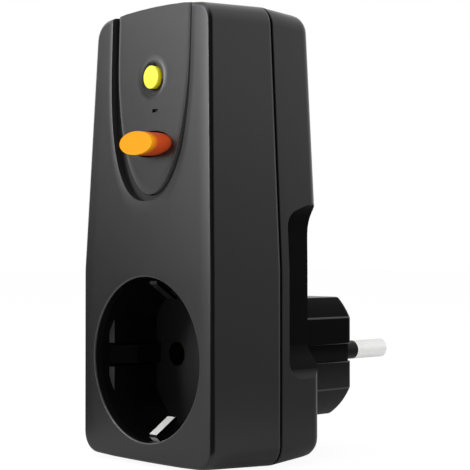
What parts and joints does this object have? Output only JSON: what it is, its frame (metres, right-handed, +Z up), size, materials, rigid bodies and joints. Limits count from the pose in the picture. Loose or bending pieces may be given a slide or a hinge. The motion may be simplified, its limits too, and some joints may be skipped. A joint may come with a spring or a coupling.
{
  "type": "rcd adapter plug",
  "caption": "Black plug-in residual-current adapter with earthed two-pin plug and socket, yellow test button and orange reset button in a shield-shaped panel",
  "frame": {"origin": "centre of the plug boss end face, on the plug axis", "axes": "+X right seen from the front, +Y into the wall outlet along the pins, +Z up"},
  "size_m": [0.0498, 0.077, 0.1102],
  "materials": {
    "shell_plastic": "fine satin black",
    "panel_plastic": "satin black",
    "lens_plastic": "smoked and glossy",
    "lamp_plastic": "clear red",
    "insert_plastic": "dull black",
    "inner_plastic": "dark grey moulding",
    "sleeve_plastic": "dull black",
    "yellow_plastic": "bright yellow",
    "orange_plastic": "bright orange",
    "white_plastic": "off-white moulding",
    "nickel": "nickel plate",
    "brass": "plain",
    "copper": "copper strip",
    "winding": "varnished wire",
    "steel": "plain",
    "spring_steel": "bright wire",
    "ferrite": "sintered",
    "board": "green mask",
    "chip_plastic": "moulded",
    "varistor_ceramic": "blue coat",
    "capacitor_plastic": "dark sleeve",
    "resistor_ceramic": "tan body"
  },
  "bodies": {
    "housing": {"front_cover": "shell_plastic", "rear_cover": "shell_plastic", "plug_boss": "shell_plastic", "panel_plate": "panel_plastic", "indicator_lens": "lens_plastic", "indicator_led": "lamp_plastic", "socket_insert": "insert_plastic", "earth_bracket": "nickel", "earth_link": "nickel", "plug_earth_strip": "nickel", "line_contact": "brass", "neutral_contact": "brass", "contact_retainer": "inner_plastic", "line_pin": "nickel", "neutral_pin": "nickel", "line_sleeve": "sleeve_plastic", "neutral_sleeve": "sleeve_plastic", "pin_carrier": "inner_plastic", "line_in_bar": "copper", "neutral_in_bar": "copper", "line_out_bar": "copper", "neutral_out_bar": "copper", "ct_core": "ferrite", "ct_winding": "winding", "test_spring": "spring_steel", "test_contact": "brass", "reset_spring": "spring_steel", "lever_pin": "steel", "mechanism_frame": "inner_plastic", "plunger_spring": "spring_steel", "trip_bobbin": "white_plastic", "trip_winding": "winding", "trip_yoke": "steel", "circuit_board": "board", "control_chip": "chip_plastic", "varistor": "varistor_ceramic", "capacitor": "capacitor_plastic", "test_resistor": "resistor_ceramic", "housing_screws": "steel"},
    "reset": {"reset_button": "orange_plastic", "contact_carrier": "white_plastic", "line_bridge": "brass", "neutral_bridge": "brass"},
    "test": {"test_button": "yellow_plastic"},
    "lever": {"trip_lever": "steel"},
    "plunger": {"trip_plunger": "steel"}
  },
  "joints": [
    {"name": "reset_press", "type": "slide", "parent": "housing", "child": "reset", "axis": [0, 1, 0], "range_m": [0, 0.003], "stiffness_N_per_m": 500, "springref_m": -0.004, "deforming": ["reset_spring"]},
    {"name": "test_press", "type": "slide", "parent": "housing", "child": "test", "axis": [0, 1, 0], "range_m": [0, 0.0012], "stiffness_N_per_m": 400, "springref_m": -0.0015, "deforming": ["test_spring"]},
    {"name": "lever_turn", "type": "hinge", "parent": "housing", "child": "lever", "pos_m": [0, -0.04, 0.0642], "axis": [1, 0, 0], "range_deg": [0, 15.4]},
    {"name": "plunger_slide", "type": "slide", "parent": "housing", "child": "plunger", "axis": [0, -1, 0], "range_m": [0, 0.0027], "deforming": ["plunger_spring"]}
  ],
  "couplings": [
    {"joint": "lever_turn", "follows": "reset_press", "rad_per_m": 89.286},
    {"joint": "plunger_slide", "follows": "reset_press", "ratio": 0.89286}
  ]
}
